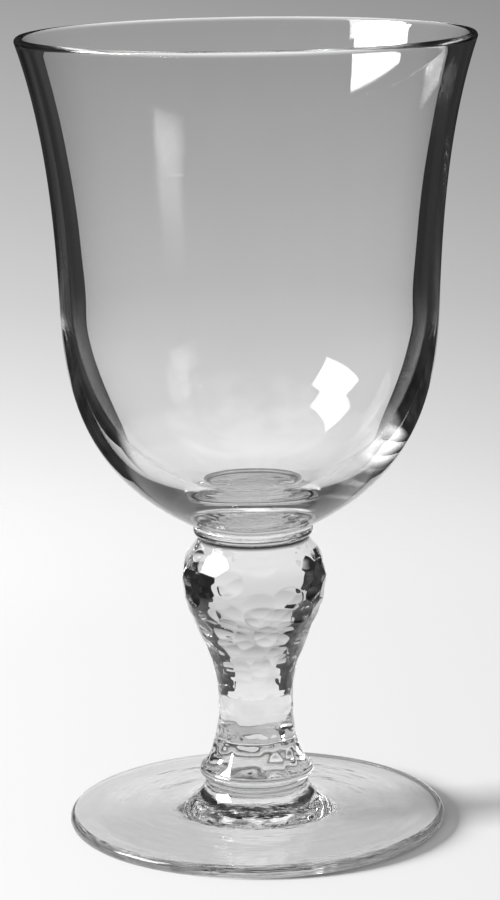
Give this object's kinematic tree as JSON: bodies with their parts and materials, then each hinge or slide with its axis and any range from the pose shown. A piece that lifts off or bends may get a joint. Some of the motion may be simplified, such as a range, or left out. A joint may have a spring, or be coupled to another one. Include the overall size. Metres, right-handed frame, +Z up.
{
  "type": "water goblet",
  "caption": "Clear glass water goblet with a flared bell bowl, a solid hammered baluster stem between thin collars, and a round flat foot.",
  "frame": {"origin": "centre of the foot, on the table plane", "axes": "+Z up along the goblet's axis; the goblet is round, so +X and +Y are any two level directions"},
  "size_m": [0.0968, 0.0968, 0.1715],
  "materials": {
    "clear_glass": "clear colourless glass, fire-polished and glossy all over, hammered cells on the stem"
  },
  "bodies": {
    "root": {"foot": "clear_glass", "foot_collar": "clear_glass", "stem": "clear_glass", "bowl_collar": "clear_glass", "bowl": "clear_glass"}
  },
  "joints": []
}
